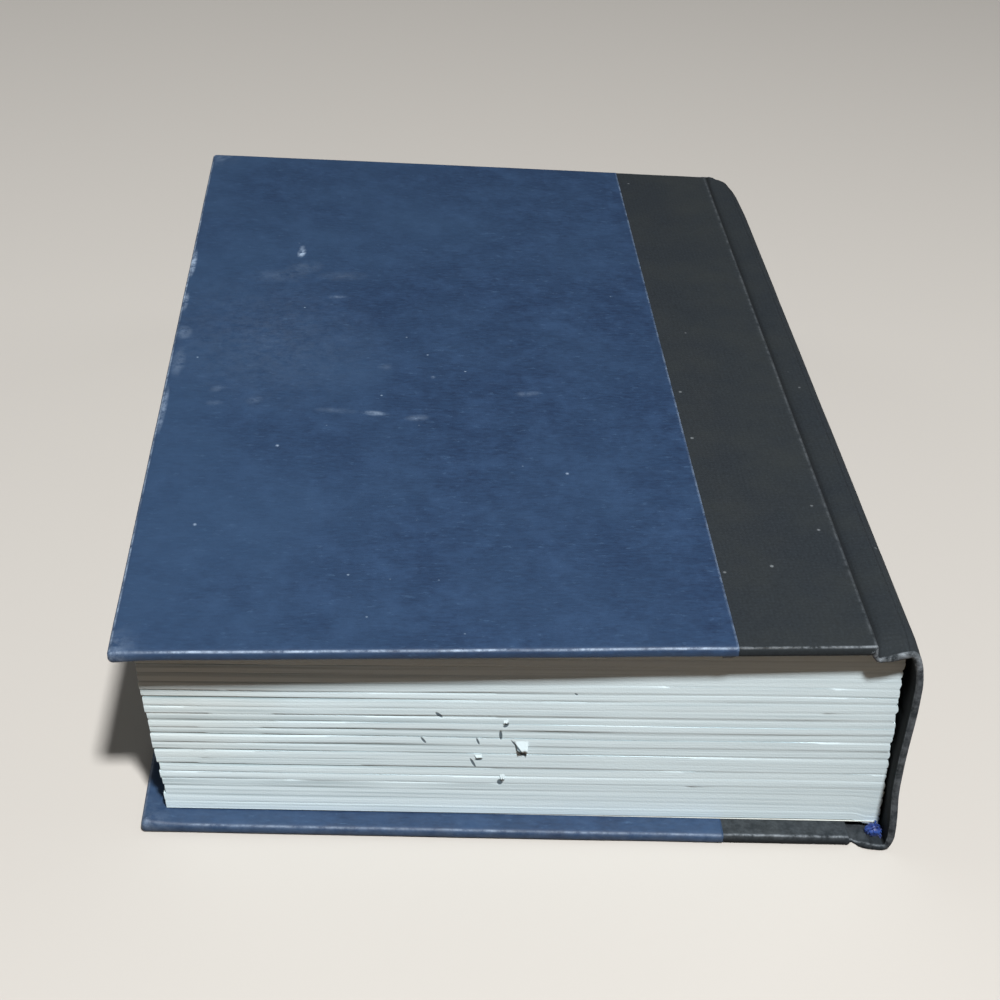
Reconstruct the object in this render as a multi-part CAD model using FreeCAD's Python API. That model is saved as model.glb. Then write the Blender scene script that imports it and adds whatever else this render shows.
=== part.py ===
import FreeCAD, Part

import math
import os

# Thick case-bound book, lying on its front cover with the back cover uppermost.
# It is quarter bound: dark cloth over the spine and joints, blue paper over the rest of the boards.
# X runs from the fore-edge to the spine, Y from the tail to the head, and Z up from the surface
# that the book lies on. The sewn sections have swollen the spine side, so the block is a wedge and
# the back cover slopes down to the fore-edge. The block also leans towards the fore-edge.

# Cover boards and what is glued on them
cover_height = 241.0
cover_width = 153.5
board_thickness = 2.0
covering_thickness = 0.25
cover_corner_radius = 1.5
cover_edge_radius = 0.6
board_corner_radius = 1.2
cloth_on_board = 28.0
turn_in_width = 15.0
pastedown_thickness = 0.15
mull_thickness = 0.2
mull_on_board = 25.0
mull_end_margin = 18.0

# Joints: the strip between a board and the block, which bends when the cover opens
front_joint_width = 7.2
back_joint_width = 8.9
back_groove_drop = 2.0
back_groove_slope = 2.4
front_cloth_reach = 2.65
front_leaf_reach = 3.6
back_cloth_reach = 3.2
back_leaf_reach = 3.2
strip_turn_in_setback = 0.6
joint_slit = 0.4
closing_gap = 0.1

# Block of sewn sections
end_square = 5.0
fore_edge_square = 4.6
block_thickness_at_spine = 49.5
block_thickness_at_fore_edge = 44.6
fore_edge_lean = 6.3
spine_lean = 3.0
section_count = 22
section_edge_bevel = 0.2
section_fold_bevel = 0.4
flyleaf_thickness = 0.15
flyleaf_trim = 0.4

# Spine of the case and the linings on the back of the block
lining_thickness = 0.2
lining_end_margin = 12.0
hollow_gap = 0.25
inlay_thickness = 1.3
inlay_foot_height = 5.0
inlay_top_drop = 8.5
ridge_setback = 0.3
ridge_rise = 2.5
ridge_radius = 0.8
ridge_root_radius = 0.8
shoulder_drop = 3.5
shoulder_radius = 6.0
heel_radius = 1.6
heel_flare = 0.2

# Headband at the head, and the torn tuft that is left of the one at the tail
headband_bead_radius = 0.9
headband_strip_thickness = 0.25
headband_strip_height = 10.0
headband_end_inset = 1.5
tuft_width = 3.0
tuft_depth = 2.8
tuft_height = 3.4
tuft_radius = 0.9
seat_gap = 0.2

# Places that follow from the sizes, in a frame whose X starts at the front cover's fore-edge
covered_thickness = board_thickness + 2 * covering_thickness
seam = cover_width - cloth_on_board
half_height = cover_height / 2
leaf_half_height = half_height - end_square
leaf_stack = pastedown_thickness + closing_gap + flyleaf_thickness
block_width = cover_width + front_joint_width - fore_edge_square
block_foot = covered_thickness + leaf_stack
fore_edge_foot = (fore_edge_square, block_foot)
spine_foot = (fore_edge_square + block_width, block_foot)
fore_edge_top = (fore_edge_foot[0] - fore_edge_lean, block_foot + block_thickness_at_fore_edge)
spine_top = (spine_foot[0] - spine_lean, block_foot + block_thickness_at_spine)
slope = math.atan2(spine_top[1] - fore_edge_top[1], spine_top[0] - fore_edge_top[0])
front_axis = (spine_foot[0], block_foot - flyleaf_thickness - closing_gap / 2)
back_axis = (spine_top[0], spine_top[1] + flyleaf_thickness + closing_gap / 2)


def along(point, direction, distance):
    """The point that lies a distance along a direction, both as (x, z) pairs."""
    return (point[0] + direction[0] * distance, point[1] + direction[1] * distance)


def unit(start, end):
    length = math.hypot(end[0] - start[0], end[1] - start[1])
    return ((end[0] - start[0]) / length, (end[1] - start[1]) / length)


def left_of(direction):
    return (-direction[1], direction[0])


def between(start, end, share):
    return (start[0] + (end[0] - start[0]) * share, start[1] + (end[1] - start[1]) * share)


def at(point, y=0.0):
    return FreeCAD.Vector(point[0], y, point[1])


def rounded_path(points, radii):
    """Straight runs between (x, z) points, with a tangent arc at each inner point."""
    edges = []
    last = points[0]
    for before, corner, after, radius in zip(points, points[1:], points[2:], radii):
        towards, onwards = unit(before, corner), unit(corner, after)
        turn = math.acos(max(-1.0, min(1.0, towards[0] * onwards[0] + towards[1] * onwards[1])))
        setback = radius * math.tan(turn / 2)
        start = along(corner, towards, -setback)
        end = along(corner, onwards, setback)
        middle_direction = unit(corner, between(start, end, 0.5))
        middle = along(corner, middle_direction, radius / math.cos(turn / 2) - radius)
        edges.append(Part.LineSegment(at(last), at(start)).toShape())
        edges.append(Part.Arc(at(start), at(middle), at(end)).toShape())
        last = end
    edges.append(Part.LineSegment(at(last), at(points[-1])).toShape())
    return edges


def shifted_path(points, radii, distance):
    """The same path moved to its left, with each arc's radius changed to stay parallel."""
    directions = [unit(a, b) for a, b in zip(points, points[1:])]
    moved = [along(points[0], left_of(directions[0]), distance)]
    new_radii = []
    for corner, before, after, radius in zip(points[1:], directions, directions[1:], radii):
        cross = before[0] * after[1] - before[1] * after[0]
        dot = before[0] * after[0] + before[1] * after[1]
        bend = math.atan2(cross, dot)
        moved.append(along(along(corner, left_of(before), distance), before,
                           -distance * math.tan(bend / 2)))
        new_radii.append(radius - distance * math.copysign(1, bend))
    moved.append(along(points[-1], left_of(directions[-1]), distance))
    return moved, new_radii


def sheet_face(points, radii, near, far):
    """A flat section between two parallels of one path, at the distances near and far to its left."""
    inner_points, inner_radii = shifted_path(points, radii, near)
    outer_points, outer_radii = shifted_path(points, radii, far)
    edges = rounded_path(inner_points, inner_radii)
    edges.append(Part.LineSegment(at(inner_points[-1]), at(outer_points[-1])).toShape())
    edges += reversed(rounded_path(outer_points, outer_radii))
    edges.append(Part.LineSegment(at(outer_points[0]), at(inner_points[0])).toShape())
    return Part.Face(Part.Wire(Part.__sortEdges__(edges)))


def polygon_face(points):
    vectors = [at(p) for p in points]
    return Part.Face(Part.makePolygon(vectors + vectors[:1]))


def swept(face, y_start, y_end):
    """A section in the XZ plane drawn out along Y."""
    moved = face.copy()
    moved.translate(FreeCAD.Vector(0, y_start, 0))
    return moved.extrude(FreeCAD.Vector(0, y_end - y_start, 0))


def block(x, y, z):
    """A rectangular block from (low, high) pairs."""
    corner = FreeCAD.Vector(x[0], y[0], z[0])
    return Part.makeBox(x[1] - x[0], y[1] - y[0], z[1] - z[0], corner)


def edges_along(shape, direction, test=None):
    """Straight edges of a solid that run along a direction and pass a test of their middle point."""
    found = []
    for edge in shape.Edges:
        if not isinstance(edge.Curve, Part.Line):
            continue
        middle = edge.valueAt((edge.FirstParameter + edge.LastParameter) / 2)
        if abs(abs(edge.tangentAt(edge.FirstParameter).dot(direction)) - 1) < 1e-6:
            if test is None or test(middle):
                found.append(edge)
    return found


def half_span(inset=0.0):
    return (-half_height + inset, half_height - inset)


# A cover is made flat. Its X starts at the fore-edge, and its Z rises from the inner face of the
# turn-ins to the outer face.
board_span = (covering_thickness, covering_thickness + board_thickness)
outer_span = (board_span[1], covered_thickness)


def make_board():
    """Greyboard, smaller than the covered size on the three sides where the covering turns in."""
    plate = block((covering_thickness, cover_width), half_span(covering_thickness), board_span)
    upright = edges_along(plate, FreeCAD.Vector(0, 0, 1))
    return plate.makeFillet(board_corner_radius, upright)


def covered_board():
    """Outside shape of the board with its covering, square at the joint side."""
    plate = block((0, cover_width), half_span(), (0, covered_thickness))
    corners = edges_along(plate, FreeCAD.Vector(0, 0, 1), lambda m: m.x < cover_width / 2)
    plate = plate.makeFillet(cover_corner_radius, corners)
    rim = []
    for edge in plate.Edges:
        middle = edge.valueAt((edge.FirstParameter + edge.LastParameter) / 2)
        on_joint = middle.x > cover_width - 1e-3
        level = abs(edge.Vertexes[0].Z - edge.Vertexes[1].Z) < 1e-6
        if level and not on_joint:
            rim.append(edge)
    return plate.makeFillet(cover_edge_radius, rim)


def make_side_paper():
    """Blue paper over the fore-edge part of a board, turned in on three sides."""
    sheet = covered_board().common(block((-1, seam), half_span(-1), (-1, covered_thickness + 1)))
    window = block((turn_in_width, seam + 1), half_span(turn_in_width), (-1, covering_thickness))
    return sheet.cut(make_board()).cut(window)


def make_quarter_cloth(groove_drop, groove_slope, strip_end):
    """Dark cloth over the joint part of a board, turned in at head and tail, with the joint strip."""
    level = covered_thickness - groove_drop
    over_board = covered_board().common(
        block((seam, cover_width + 1), half_span(-1), (-1, covered_thickness + 1)))
    window = block((seam - 1, cover_width + 1), half_span(turn_in_width), (-1, covering_thickness))
    cloth = over_board.cut(make_board()).cut(window)
    if groove_drop > 0:
        points = [(cover_width - 1, covered_thickness), (cover_width, covered_thickness),
                  (cover_width + groove_slope, level), (strip_end, level)]
        face = sheet_face(points, [0.5, 1.0], 0.0, -covering_thickness)
        inner_start = cover_width + groove_slope
    else:
        face = polygon_face([(cover_width - 1, covered_thickness), (strip_end, covered_thickness),
                             (strip_end, outer_span[0]), (cover_width - 1, outer_span[0])])
        inner_start = cover_width
    cloth = cloth.fuse(swept(face, *half_span()))
    inner = (inner_start, strip_end - strip_turn_in_setback)
    inner_top = level - covering_thickness
    for end in (-1, 1):
        rows = sorted((end * half_height, end * (half_height - turn_in_width)))
        cloth = cloth.fuse(block(inner, rows, (inner_top - covering_thickness, inner_top)))
    return cloth.cut(make_board()).removeSplitter()


def make_pastedown(strip_end):
    """Endpaper glued over the board and turn-ins, sunk where it lies on the bare board."""
    rows = half_span(end_square)
    sheet = block((fore_edge_square, strip_end), rows, (-pastedown_thickness, 0))
    sunk = (turn_in_width, cover_width - mull_on_board)
    sunk_rows = half_span(turn_in_width)
    pad = block(sunk, sunk_rows, (-pastedown_thickness, covering_thickness))
    wall = pastedown_thickness
    hollow = block((sunk[0] + wall, sunk[1] - wall), (sunk_rows[0] + wall, sunk_rows[1] - wall),
                   (-1, covering_thickness - pastedown_thickness))
    return sheet.fuse(pad).cut(hollow).removeSplitter()


def make_mull_flange(strip_end):
    """Flap of the open gauze that hinges the block to a board, under the pastedown."""
    return block((cover_width - mull_on_board, strip_end), half_span(mull_end_margin),
                 (covering_thickness - mull_thickness, covering_thickness))


def make_cover(name, groove_drop, groove_slope, cloth_end, leaf_end):
    """All the pieces of one cover, with the places where its cloth and its leaves stop."""
    return {
        name + "_board": make_board(),
        name + "_side_paper": make_side_paper(),
        name + "_quarter_cloth": make_quarter_cloth(groove_drop, groove_slope, cloth_end),
        name + "_pastedown": make_pastedown(leaf_end),
        name + "_mull_flange": make_mull_flange(leaf_end),
    }


def make_section(index):
    """One folded section, bevelled a little where it is trimmed and more at the fold."""
    low, high = index / section_count, (index + 1) / section_count
    face = polygon_face([between(fore_edge_foot, fore_edge_top, low),
                         between(spine_foot, spine_top, low),
                         between(spine_foot, spine_top, high),
                         between(fore_edge_foot, fore_edge_top, high)])
    slab = swept(face, -leaf_half_height, leaf_half_height)
    middle_x = (spine_foot[0] + fore_edge_foot[0]) / 2
    folds = edges_along(slab, FreeCAD.Vector(0, 1, 0), lambda m: m.x > middle_x)
    slab = slab.makeChamfer(section_fold_bevel, folds)
    trimmed = edges_along(slab, FreeCAD.Vector(0, 1, 0), lambda m: m.x < middle_x)
    for share in (low, high):
        row = unit(between(fore_edge_foot, fore_edge_top, share),
                   between(spine_foot, spine_top, share))
        trimmed += edges_along(slab, FreeCAD.Vector(row[0], 0, row[1]))
    return slab.makeChamfer(section_edge_bevel, trimmed)


def make_text_block():
    """All the sections as one solid, with a shallow groove between each two."""
    sections = [make_section(i) for i in range(section_count)]
    return sections[0].multiFuse(sections[1:])


def make_flyleaf(fore_edge, spine, outward):
    """Free endpaper on the block's top or bottom face."""
    row = unit(fore_edge, spine)
    normal = along((0, 0), left_of(row), outward)
    start = along(fore_edge, row, flyleaf_trim)
    end = along(spine, row, -section_fold_bevel)
    face = polygon_face([start, end, along(end, normal, flyleaf_thickness),
                         along(start, normal, flyleaf_thickness)])
    return swept(face, flyleaf_trim - leaf_half_height, leaf_half_height - flyleaf_trim)


# The linings and the spine of the case are parallel to the back of the block.
spine_up = unit(spine_foot, spine_top)
spine_out = (spine_up[1], -spine_up[0])


def spine_point(rise, out):
    """A point by its distance up the back of the block, and out from it."""
    return along(along(spine_foot, spine_up, rise), spine_out, out)


def back_strip(rise, out, rows):
    """A flat strip parallel to the back of the block."""
    face = polygon_face([spine_point(rise[0], out[0]), spine_point(rise[0], out[1]),
                         spine_point(rise[1], out[1]), spine_point(rise[1], out[0])])
    return swept(face, *rows)


back_length = math.hypot(spine_lean, block_thickness_at_spine)
mull_out = (0.0, mull_thickness)
lining_out = (mull_thickness, mull_thickness + lining_thickness)
wall_in = lining_out[1] + hollow_gap
inlay_out = (wall_in + covering_thickness, wall_in + covering_thickness + inlay_thickness)
wall_out = inlay_out[1] + covering_thickness
inlay_rise = (inlay_foot_height - block_foot, back_length - inlay_top_drop)
back_rise = (section_fold_bevel, back_length - section_fold_bevel)


def spine_cloth_path():
    """Outer line of the cloth, from the back joint over the ridge and down to the front joint."""
    level = back_axis[1] + closing_gap / 2 + pastedown_thickness + covering_thickness * 2
    start = (back_axis[0] - back_cloth_reach + joint_slit, level)
    ridge_root = (between(start, back_axis, 0.35)[0], level)
    ridge = (back_axis[0] - ridge_setback, level + ridge_rise)
    shoulder = spine_point(back_length - shoulder_drop, wall_out)
    wall_foot = spine_point(inlay_rise[0], wall_out)
    heel = (wall_foot[0] + heel_flare, 0.0)
    end = (front_axis[0] - front_cloth_reach + joint_slit, 0.0)
    return ([start, ridge_root, ridge, shoulder, wall_foot, heel, end],
            [ridge_root_radius, ridge_radius, shoulder_radius, shoulder_radius, heel_radius])


def make_spine_cloth():
    """Cloth round the spine, turned in over the ends of the inlay at head and tail."""
    points, radii = spine_cloth_path()
    cloth = swept(sheet_face(points, radii, 0.0, -covering_thickness), *half_span())
    inlay = back_strip(inlay_rise, inlay_out, half_span(covering_thickness))
    wrap_rise = (inlay_rise[0] - covering_thickness, inlay_rise[1] + covering_thickness)
    wrap_out = (wall_in, wall_out - covering_thickness / 2)
    fold_points = points[:-1] + [(points[-1][0] + strip_turn_in_setback, 0.0)]
    fold_face = sheet_face(fold_points, radii, -covering_thickness / 2, -2 * covering_thickness)
    for end in (-1, 1):
        rows = sorted((end * half_height, end * (half_height - turn_in_width)))
        cloth = cloth.fuse(swept(fold_face, *rows))
        cloth = cloth.fuse(back_strip(wrap_rise, wrap_out, rows))
    return cloth.cut(inlay)


def make_spine_inlay():
    """Stiff card that gives the spine its flat."""
    return back_strip(inlay_rise, inlay_out, half_span(covering_thickness))


def make_headband():
    """Woven strip glued to the back of the block, with a bead over the leaves at the head."""
    rise = (back_rise[0] + headband_end_inset, back_rise[1] - headband_end_inset)
    rows = (leaf_half_height - headband_strip_height, leaf_half_height + headband_bead_radius)
    strip = back_strip(rise, (mull_thickness, mull_thickness + headband_strip_thickness), rows)
    centre_y = leaf_half_height + headband_bead_radius + seat_gap
    foot = at(spine_point(rise[0], mull_thickness - headband_bead_radius * 0.6), centre_y)
    bead = Part.makeCylinder(headband_bead_radius, rise[1] - rise[0], foot,
                             FreeCAD.Vector(spine_up[0], 0, spine_up[1]))
    return bead.fuse(strip)


def make_tuft():
    """Frayed end of the tail headband, stuck to the foot of the block by the heel of the cloth."""
    right = front_axis[0] + tuft_width * 0.2
    front = -leaf_half_height - tuft_depth
    floor = 2 * covering_thickness + seat_gap
    lump = block((right - tuft_width, right), (front, front + tuft_depth),
                 (floor, floor + tuft_height))
    loose = []
    for edge in lump.Edges:
        if edge.BoundBox.YMax < -leaf_half_height - 1e-6 or edge.BoundBox.YLength > 1e-6:
            loose.append(edge)
    return lump.makeFillet(tuft_radius, loose)


def place_covers():
    """Both covers where they lie when the book is shut."""
    pieces = {}
    lower = FreeCAD.Placement(FreeCAD.Vector(0, 0, covered_thickness),
                              FreeCAD.Rotation(FreeCAD.Vector(1, 0, 0), 180))
    ends = [cover_width + front_joint_width - r for r in (front_cloth_reach, front_leaf_reach)]
    for name, shape in make_cover("front", 0.0, 0.0, *ends).items():
        pieces[name] = shape.transformed(lower.toMatrix())
    row = (math.cos(slope), math.sin(slope))
    inner = along(spine_top, left_of(row), leaf_stack)
    origin = along(inner, row, -(cover_width + back_joint_width))
    upper = FreeCAD.Placement(at(origin),
                              FreeCAD.Rotation(FreeCAD.Vector(0, 1, 0), -math.degrees(slope)))
    ends = [cover_width + back_joint_width - r for r in (back_cloth_reach, back_leaf_reach)]
    for name, shape in make_cover("back", back_groove_drop, back_groove_slope, *ends).items():
        pieces[name] = shape.transformed(upper.toMatrix())
    return pieces


def build():
    pieces = place_covers()
    pieces["text_block"] = make_text_block()
    pieces["front_flyleaf"] = make_flyleaf(fore_edge_foot, spine_foot, -1)
    pieces["back_flyleaf"] = make_flyleaf(fore_edge_top, spine_top, 1)
    leaf_rows = (-leaf_half_height, leaf_half_height)
    lining_rows = (lining_end_margin - leaf_half_height, leaf_half_height - lining_end_margin)
    pieces["spine_mull"] = back_strip(back_rise, mull_out, leaf_rows)
    pieces["spine_lining"] = back_strip(back_rise, lining_out, lining_rows)
    pieces["spine_inlay"] = make_spine_inlay()
    pieces["spine_cloth"] = make_spine_cloth()
    pieces["head_headband"] = make_headband()
    pieces["tail_headband_tuft"] = make_tuft()
    return pieces


pieces = build()
left = min(p.BoundBox.XMin for p in pieces.values())
right = max(p.BoundBox.XMax for p in pieces.values())
to_centre = -(left + right) / 2

os.makedirs("parts", exist_ok=True)
for name, piece in sorted(pieces.items()):
    piece.translate(FreeCAD.Vector(to_centre, 0, 0))
    piece.exportStep("parts/%s.step" % name)
    box = piece.BoundBox
    print("%-22s solids %d valid %s volume %9.1f  X %.2f %.2f  Y %.2f %.2f  Z %.2f %.2f" % (
        name, len(piece.Solids), piece.isValid(), piece.Volume, box.XMin, box.XMax, box.YMin,
        box.YMax, box.ZMin, box.ZMax))
print("front hinge axis X %.3f Z %.3f" % (front_axis[0] + to_centre, front_axis[1]))
print("back hinge axis X %.3f Z %.3f" % (back_axis[0] + to_centre, back_axis[1]))
print("slope of the back cover %.3f degrees" % math.degrees(slope))
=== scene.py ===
import math
import random

import bmesh
import bpy
from mathutils import Matrix, Vector, noise


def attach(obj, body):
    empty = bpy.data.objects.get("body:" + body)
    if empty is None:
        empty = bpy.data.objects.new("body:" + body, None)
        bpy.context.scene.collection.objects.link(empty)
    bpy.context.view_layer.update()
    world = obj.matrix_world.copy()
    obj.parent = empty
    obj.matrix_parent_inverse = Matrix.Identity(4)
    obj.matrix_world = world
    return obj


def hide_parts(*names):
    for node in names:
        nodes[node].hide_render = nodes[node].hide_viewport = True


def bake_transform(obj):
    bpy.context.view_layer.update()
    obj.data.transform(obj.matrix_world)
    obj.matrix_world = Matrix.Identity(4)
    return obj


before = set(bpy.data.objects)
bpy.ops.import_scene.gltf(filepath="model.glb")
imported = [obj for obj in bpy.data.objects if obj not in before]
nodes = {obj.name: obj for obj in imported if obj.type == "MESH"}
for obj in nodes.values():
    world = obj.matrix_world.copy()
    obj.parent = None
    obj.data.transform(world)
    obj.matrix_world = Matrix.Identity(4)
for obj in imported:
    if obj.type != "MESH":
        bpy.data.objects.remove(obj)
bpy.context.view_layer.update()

# Text block: 22 folded sections of uncoated book paper, sewn through their folds and trimmed on
# three sides. The trimmed faces show the gap between each two sections, and the single leaves as
# finer lines. It leans to the fore-edge, and the sewing has made the spine side thicker.
sections, leaf_lines = 22, 7
fore_foot, fore_top = Vector((-74.57, 2.9)), Vector((-80.87, 47.5))
spine_foot, spine_top = Vector((81.53, 2.9)), Vector((78.53, 52.4))
leaf_end = 115.5
cover_left, cover_width, cover_length, book_thickness = -83.8, 153.5, 241.0, 52.0
rng = random.Random(11)


def linear(hex_colour):
    """An sRGB hex colour as linear red, green, blue and alpha."""
    parts = [int(hex_colour[i:i + 2], 16) / 255 for i in (1, 3, 5)]
    return [p / 12.92 if p <= 0.04045 else ((p + 0.055) / 1.055) ** 2.4 for p in parts] + [1.0]


def node(tree, kind, inputs=None, **settings):
    """One shader node, with its settings, and its inputs linked or set."""
    made = tree.nodes.new("ShaderNode" + kind)
    for name, value in settings.items():
        setattr(made, name, value)
    for name, value in (inputs or {}).items():
        if isinstance(value, bpy.types.NodeSocket):
            tree.links.new(value, made.inputs[name])
        else:
            made.inputs[name].default_value = value
    return made


def new_material(name, roughness, **sockets):
    """A material with its shader's own sockets set, and the tree and shader to go on with."""
    made = bpy.data.materials.new(name)
    made.use_nodes = True
    shader = made.node_tree.nodes["Principled BSDF"]
    shader.inputs["Roughness"].default_value = roughness
    for socket, value in sockets.items():
        shader.inputs[socket.replace("_", " ")].default_value = value
    return made, made.node_tree, shader


def dress(tree, shader, colour, bump):
    """Leads a material's colour and its relief to its shader."""
    tree.links.new(colour.outputs[2], shader.inputs["Base Color"])
    tree.links.new(bump.outputs[0], shader.inputs["Normal"])


def smooth_share(value, low, high):
    """0 at low and 1 at high, eased at both ends."""
    share = max(0.0, min(1.0, (value - low) / (high - low)))
    return share * share * (3 - 2 * share)


# How the book has settled, in mm. Each pair is the value at the fore-edge and what is added to it
# by the joint: the rise of the upper cover at the tail and at the head, and the shift of the block
# along the spine at its top and at its foot. The top of the whole book has crept to the tail.
tail_rise, head_rise = (-0.47, 2.29), (1.28, -3.67)
top_turn, foot_turn = (2.0, -3.5), (-0.6, 0.8)
creep = 0.93


def settle(bm, block=False):
    """The real book's slight twist: its upper cover's four corners rest at different heights, and
    its top has crept a little towards the tail. The block is also turned a little in its case."""
    for vert in bm.verts:
        x, y, z = vert.co
        across, along = (x - cover_left) / cover_width, (y + cover_length / 2) / cover_length
        rise = z / book_thickness
        if block:
            at_top = top_turn[0] + top_turn[1] * across
            at_foot = foot_turn[0] + foot_turn[1] * across
            vert.co.y += at_top * rise + at_foot * (1 - rise)
        at_tail = tail_rise[0] + tail_rise[1] * across
        at_head = head_rise[0] + head_rise[1] * across
        vert.co.z += (at_tail + (at_head - at_tail) * along) * rise
        vert.co.y -= creep * rise


def add_piece(name, bm, material, sharp=30):
    """The finished mesh, made in millimetres, as an object in metres with its material."""
    bmesh.ops.scale(bm, vec=(0.001, 0.001, 0.001), verts=bm.verts)
    for face in bm.faces:
        face.smooth = True
    mesh = bpy.data.meshes.new(name)
    bm.to_mesh(mesh)
    bm.free()
    mesh.set_sharp_from_angle(angle=math.radians(sharp))
    mesh.materials.append(material)
    piece = bpy.data.objects.new(name, mesh)
    bpy.context.scene.collection.objects.link(piece)
    return piece


def gridded_box(counts):
    """A cube from 0 to 1, divided into that many steps along each axis."""
    bm = bmesh.new()
    bmesh.ops.create_cube(bm, size=1.0)
    bmesh.ops.translate(bm, vec=(0.5, 0.5, 0.5), verts=bm.verts)
    for axis, count in enumerate(counts):
        if count > 1:
            across = [e for e in bm.edges
                      if abs((e.verts[0].co - e.verts[1].co).normalized()[axis]) > 0.9]
            bmesh.ops.subdivide_edges(bm, edges=across, cuts=count - 1, use_grid_fill=True)
    return bm


# Each section has six rows up its thickness, and the first is the gap under it. Bulge and fold
# say how far a row lies in from the trimmed face and from the line of the folds. The lowest page
# corner at the foot of the spine hangs a little.
rows = (0.0, 0.08, 0.27, 0.5, 0.73, 0.92)
bulge = (0.0, 0.04, 0.01, 0.0, 0.02, 0.06)
fold = (0.35, 0.1, 0.0, 0.0, 0.0, 0.1)
corner_hang = 1.1
thickness = [rng.uniform(0.82, 1.18) for _ in range(sections)]
starts = [sum(thickness[:i]) / sum(thickness) for i in range(sections + 1)] + [1.0]
gap_depth = [rng.choice((0.05, 0.1, 0.15, 0.2, 0.25)) for _ in range(sections + 1)]
# Painted shade: how dark the gap under each section is drawn, darker the deeper the gap.
gap_shade_strength = [0.3 + 2.8 * depth + rng.uniform(-0.1, 0.15) for depth in gap_depth]
faint = [[rng.choice((0, 0, 0.15, 0.35)) for _ in rows] for _ in range(sections + 1)]
step_tail = [rng.uniform(0, 0.09) for _ in range(sections + 1)]
step_fore = [rng.uniform(0, 0.55) * (1.4 if i < 7 else 0.7) for i in range(sections + 1)]
step_fold = [rng.uniform(0, 0.3) for _ in range(sections + 1)]

bm = gridded_box((110, 60, sections * len(rows)))
gap_shade_layer = bm.verts.layers.float.new("gap")
leaf_layer = bm.verts.layers.float.new("leaf")
for vert in bm.verts:
    line = round(vert.co.z * sections * len(rows))
    section, row = divmod(line, len(rows))
    across, share = vert.co.x, starts[section] + rows[row] * (
        starts[section + 1] - starts[section])
    at_tail, at_head = vert.co.y < 0.001, vert.co.y > 0.999
    foot, top = fore_foot.lerp(spine_foot, across), fore_top.lerp(spine_top, across)
    x, z = foot.lerp(top, share)
    y = leaf_end * (2 * vert.co.y - 1)
    bend = math.sin(math.pi * share)
    z += 0.5 * bend * noise.noise(Vector((x * 0.02, y * 0.012, section * 0.9)))
    inner = 0 < line < sections * len(rows)
    is_gap = row == 0 and inner
    rough = 0.62 + 0.6 * noise.noise(Vector((x * 0.06, y * 0.06, section * 5.3)))
    rough *= 1.3 - 1.0 * smooth_share(across, 0.0, 0.75)
    # Painted shade: the gaps between sections are darkened, and some rows inside a section get a
    # fainter line of it.
    vert[gap_shade_layer] = max(0.0, gap_shade_strength[section] * rough * 1.3) if is_gap else (
        faint[section][row] * max(0.0, rough + 0.2) if inner else 0.0)
    vert[leaf_layer] = share * sections * leaf_lines
    depth = step_tail[section]
    if inner:
        depth += bulge[row] * (0.8 - 0.6 * smooth_share(across, 0.0, 0.5))
    if is_gap:
        depth += gap_depth[section] * (0.15 + 1.1 * rough)
    if across < 0.001:
        x += step_fore[section] + (0.3 if is_gap else 0.0)
    if across > 0.999:
        x -= (fold[row] if inner else 0.3) + step_fold[section] \
            + 0.3 * noise.noise(Vector((line * 1.7, y * 0.01, 4.0)))
        x += (0.75 - 2.0 * share) * smooth_share(-y, 106, 115)
    if at_tail:
        y += depth
    if y < -90:
        z -= corner_hang * smooth_share(x, 75.5, 79.5) * smooth_share(-y, 100, 114) * (
            1 - smooth_share(share, 0.0, 0.25))
    if at_head:
        y -= depth
    vert.co = (x, y, z)
settle(bm, block=True)

# Book paper, cut with a guillotine: matt and nearly white with a green-grey cast, and in fine lines
# along the leaves. A leaf is 0.14 mm thick, drawn here as lines of about 0.35 mm so that they show.
leaves, tree, shader = new_material("book_paper_trimmed", 0.82, Specular_IOR_Level=0.25)
place = node(tree, "TexCoord").outputs["Object"]
gap = node(tree, "Attribute", attribute_name="gap").outputs["Fac"]
leaf = node(tree, "Attribute", attribute_name="leaf").outputs["Fac"]
parts = node(tree, "SeparateXYZ", {0: place})
on_leaf = node(tree, "CombineXYZ", {"X": parts.outputs["X"], "Y": parts.outputs["Y"], "Z": leaf})
long_lines = node(tree, "Mapping", {"Vector": on_leaf.outputs[0], "Scale": (22, 22, 0.85)})
lines = node(tree, "TexNoise", {"Vector": long_lines.outputs[0], "Scale": 1.0, "Detail": 3.0,
                                "Roughness": 0.6})
fibres = node(tree, "TexNoise", {"Vector": place, "Scale": 2600.0, "Detail": 2.0})
cloudy = node(tree, "TexNoise", {"Vector": place, "Scale": 45.0, "Detail": 3.0})
line_share = node(tree, "MapRange", {"Value": lines.outputs["Fac"], "From Min": 0.54,
                                     "From Max": 0.78, "To Max": 0.5})
colour = node(tree, "Mix", {0: line_share.outputs[0], 6: linear("#E6F8FE"),
                            7: linear("#AFC6CF")}, data_type="RGBA")
warm_place = node(tree, "Mapping", {"Vector": place, "Location": (2.36, 0.0, -1.12),
                                    "Scale": (34, 6, 34)})
warm_spot = node(tree, "TexGradient", {"Vector": warm_place.outputs[0]},
                 gradient_type="SPHERICAL")
warm = node(tree, "Math", {0: warm_spot.outputs["Fac"], 1: cloudy.outputs["Fac"]},
            operation="MULTIPLY")
colour = node(tree, "Mix", {0: warm.outputs[0], 6: colour.outputs[2], 7: linear("#D9C7A4")},
              data_type="RGBA")
# Painted shade in the gaps between sections, led in by the gap attribute.
gap_shade_share = node(tree, "MapRange", {"Value": gap, "From Max": 1.0, "To Max": 0.9})
colour = node(tree, "Mix", {0: gap_shade_share.outputs[0], 6: colour.outputs[2],
                            7: linear("#6C868C")}, data_type="RGBA")
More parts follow.
